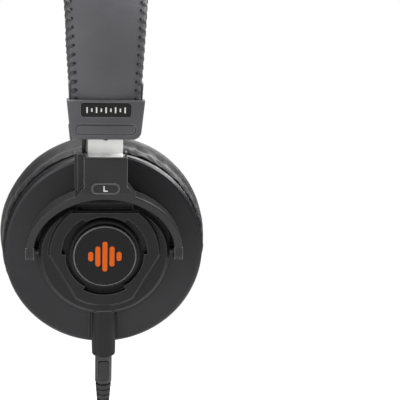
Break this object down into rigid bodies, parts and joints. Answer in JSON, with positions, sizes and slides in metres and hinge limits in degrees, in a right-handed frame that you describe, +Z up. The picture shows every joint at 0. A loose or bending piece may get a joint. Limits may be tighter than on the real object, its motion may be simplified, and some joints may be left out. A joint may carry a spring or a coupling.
{
  "type": "monitoring headphones",
  "caption": "Closed-back over-ear headphones with a wrapped spring headband, sliding and tilting ear cups, and an unplugging side cord.",
  "frame": {"origin": "top of the headband's inside face, midway between the ears, where a hook or a head carries the headphones", "axes": "+Z up, +X towards the wearer's left cup, -Y towards the wearer's front"},
  "size_m": [0.1928, 0.102, 0.3915],
  "materials": {
    "cap_plastic": "fine spark texture",
    "screw_steel": "blackened",
    "spring_steel": "plain",
    "label_plastic": "satin",
    "slider_steel": "satin bright",
    "rivet_steel": "polished",
    "cord_rubber": "soft matt",
    "yoke_plastic": "satin",
    "hub_plastic": "satin",
    "shell_plastic": "satin",
    "trim_plastic": "satin",
    "disc_gloss": "gloss",
    "badge_orange": "satin",
    "baffle_plastic": "moulded",
    "magnet_steel": "zinc plated",
    "diaphragm_film": "clear film",
    "grille_cloth": "thin knit",
    "pad_leather": "smooth leatherette",
    "letter_white": "printed",
    "band_leather": "smooth leatherette",
    "foam": "open foam",
    "contact_brass": "gold flash",
    "plug_metal": "satin black",
    "button_plastic": "satin",
    "relief_rubber": "matt",
    "tie_fabric": "hook and loop",
    "jack_gold": "gold plated"
  },
  "bodies": {
    "headband": {"headband_cover": "band_leather", "headband_foam": "foam", "headband_spring": "spring_steel", "end_cap_front_left": "cap_plastic", "end_cap_back_left": "cap_plastic", "cap_screws_left": "screw_steel", "detent_spring_left": "spring_steel", "label_plate_left": "label_plastic", "end_cap_front_right": "cap_plastic", "end_cap_back_right": "cap_plastic", "cap_screws_right": "screw_steel", "detent_spring_right": "spring_steel", "label_plate_right": "label_plastic"},
    "slider_left": {"slider_strip_left": "slider_steel", "swivel_rivet_left": "rivet_steel", "slider_lead_left": "cord_rubber"},
    "yoke_left": {"yoke_left": "yoke_plastic", "pivot_pins_left": "screw_steel", "ear_letter_left": "letter_white"},
    "cup_left": {"hub_cover_left": "hub_plastic", "cup_shell_left": "shell_plastic", "trim_ring_left": "trim_plastic", "centre_disc_left": "disc_gloss", "badge_left": "badge_orange", "baffle_left": "baffle_plastic", "baffle_screws_left": "screw_steel", "driver_frame_left": "baffle_plastic", "driver_magnet_left": "magnet_steel", "diaphragm_left": "diaphragm_film", "ear_grille_left": "grille_cloth", "ear_pad_left": "pad_leather", "socket_boss": "hub_plastic", "socket_pins": "contact_brass"},
    "slider_right": {"slider_strip_right": "slider_steel", "swivel_rivet_right": "rivet_steel", "slider_lead_right": "cord_rubber"},
    "yoke_right": {"yoke_right": "yoke_plastic", "pivot_pins_right": "screw_steel", "ear_letter_right": "letter_white"},
    "cup_right": {"hub_cover_right": "hub_plastic", "cup_shell_right": "shell_plastic", "trim_ring_right": "trim_plastic", "centre_disc_right": "disc_gloss", "badge_right": "badge_orange", "baffle_right": "baffle_plastic", "baffle_screws_right": "screw_steel", "driver_frame_right": "baffle_plastic", "driver_magnet_right": "magnet_steel", "diaphragm_right": "diaphragm_film", "ear_grille_right": "grille_cloth", "ear_pad_right": "pad_leather"},
    "cord_plug": {"plug_barrel": "plug_metal", "strain_relief": "relief_rubber", "cord": "cord_rubber", "cord_tail": "cord_rubber", "cord_coil": "cord_rubber", "coil_tie": "tie_fabric", "jack_barrel": "plug_metal", "jack_pin": "jack_gold"},
    "release_button": {"plug_button": "button_plastic"}
  },
  "joints": [
    {"name": "extend_left", "type": "slide", "parent": "headband", "child": "slider_left", "axis": [-0.284, 0, -0.9588], "range_m": [-0.006, 0.022]},
    {"name": "swivel_left", "type": "hinge", "parent": "slider_left", "child": "yoke_left", "pos_m": [0.08358, 0, -0.12875], "axis": [0.284, 0, 0.9588], "range_deg": [-8, 8]},
    {"name": "tilt_left", "type": "hinge", "parent": "yoke_left", "child": "cup_left", "pos_m": [0.06371, 0, -0.17293], "axis": [0, -1, 0], "range_deg": [-5, 12]},
    {"name": "extend_right", "type": "slide", "parent": "headband", "child": "slider_right", "axis": [0.284, 0, -0.9588], "range_m": [-0.006, 0.022]},
    {"name": "swivel_right", "type": "hinge", "parent": "slider_right", "child": "yoke_right", "pos_m": [-0.08358, 0, -0.12875], "axis": [-0.284, 0, 0.9588], "range_deg": [-8, 8]},
    {"name": "tilt_right", "type": "hinge", "parent": "yoke_right", "child": "cup_right", "pos_m": [-0.06371, 0, -0.17293], "axis": [0, 1, 0], "range_deg": [-5, 12]},
    {"name": "unplug", "type": "slide", "parent": "cup_left", "child": "cord_plug", "axis": [-0.284, 0, -0.9588], "range_m": [0, 0.014]},
    {"name": "press_release", "type": "slide", "parent": "cord_plug", "child": "release_button", "axis": [-0.9588, 0, 0.284], "range_m": [0, 0.0008], "stiffness_N_per_m": 400}
  ]
}
